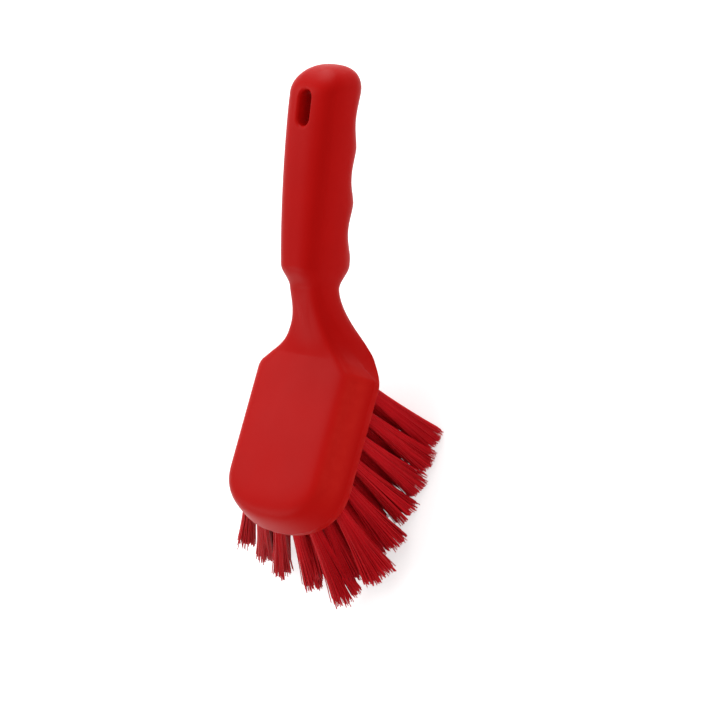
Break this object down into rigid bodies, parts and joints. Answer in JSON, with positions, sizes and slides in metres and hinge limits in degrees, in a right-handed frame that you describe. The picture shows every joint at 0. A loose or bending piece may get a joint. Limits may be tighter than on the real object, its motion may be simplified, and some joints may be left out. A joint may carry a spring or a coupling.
{
  "type": "short-handled brush",
  "caption": "Short-handled scrubbing brush with a pillow-edged head, an arched finger-scalloped handle with a hanging slot, and splayed stapled bristle tufts.",
  "frame": {"origin": "on the plane of the trimmed bristle tips, under the centre of the bounding box", "axes": "+X from the toe along the handle, +Z out of the back of the head, away from the bristles, and the brush is a mirror image of itself across Y = 0"},
  "size_m": [0.3002, 0.1166, 0.1209],
  "materials": {
    "stock_red": "moulded red polypropylene, satin with a fine mould grain",
    "bristle_crimson": "crimson extruded filament, slightly glossy along its length"
  },
  "bodies": {
    "root": {"stock": "stock_red", "tuft_row_1_left_1": "bristle_crimson", "tuft_row_1_right_1": "bristle_crimson", "tuft_row_1_left_2": "bristle_crimson", "tuft_row_1_right_2": "bristle_crimson", "tuft_row_2_left_1": "bristle_crimson", "tuft_row_2_right_1": "bristle_crimson", "tuft_row_2_left_2": "bristle_crimson", "tuft_row_2_right_2": "bristle_crimson", "tuft_row_2_left_3": "bristle_crimson", "tuft_row_2_right_3": "bristle_crimson", "tuft_row_3_left_1": "bristle_crimson", "tuft_row_3_right_1": "bristle_crimson", "tuft_row_3_left_2": "bristle_crimson", "tuft_row_3_right_2": "bristle_crimson", "tuft_row_3_left_3": "bristle_crimson", "tuft_row_3_right_3": "bristle_crimson", "tuft_row_4_left_1": "bristle_crimson", "tuft_row_4_right_1": "bristle_crimson", "tuft_row_4_left_2": "bristle_crimson", "tuft_row_4_right_2": "bristle_crimson", "tuft_row_4_left_3": "bristle_crimson", "tuft_row_4_right_3": "bristle_crimson", "tuft_row_5_left_1": "bristle_crimson", "tuft_row_5_right_1": "bristle_crimson", "tuft_row_5_left_2": "bristle_crimson", "tuft_row_5_right_2": "bristle_crimson", "tuft_row_5_left_3": "bristle_crimson", "tuft_row_5_right_3": "bristle_crimson", "tuft_row_6_left_1": "bristle_crimson", "tuft_row_6_right_1": "bristle_crimson", "tuft_row_6_left_2": "bristle_crimson", "tuft_row_6_right_2": "bristle_crimson", "tuft_row_6_left_3": "bristle_crimson", "tuft_row_6_right_3": "bristle_crimson", "tuft_row_7_left_1": "bristle_crimson", "tuft_row_7_right_1": "bristle_crimson", "tuft_row_7_left_2": "bristle_crimson", "tuft_row_7_right_2": "bristle_crimson", "tuft_row_7_left_3": "bristle_crimson", "tuft_row_7_right_3": "bristle_crimson"}
  },
  "joints": []
}
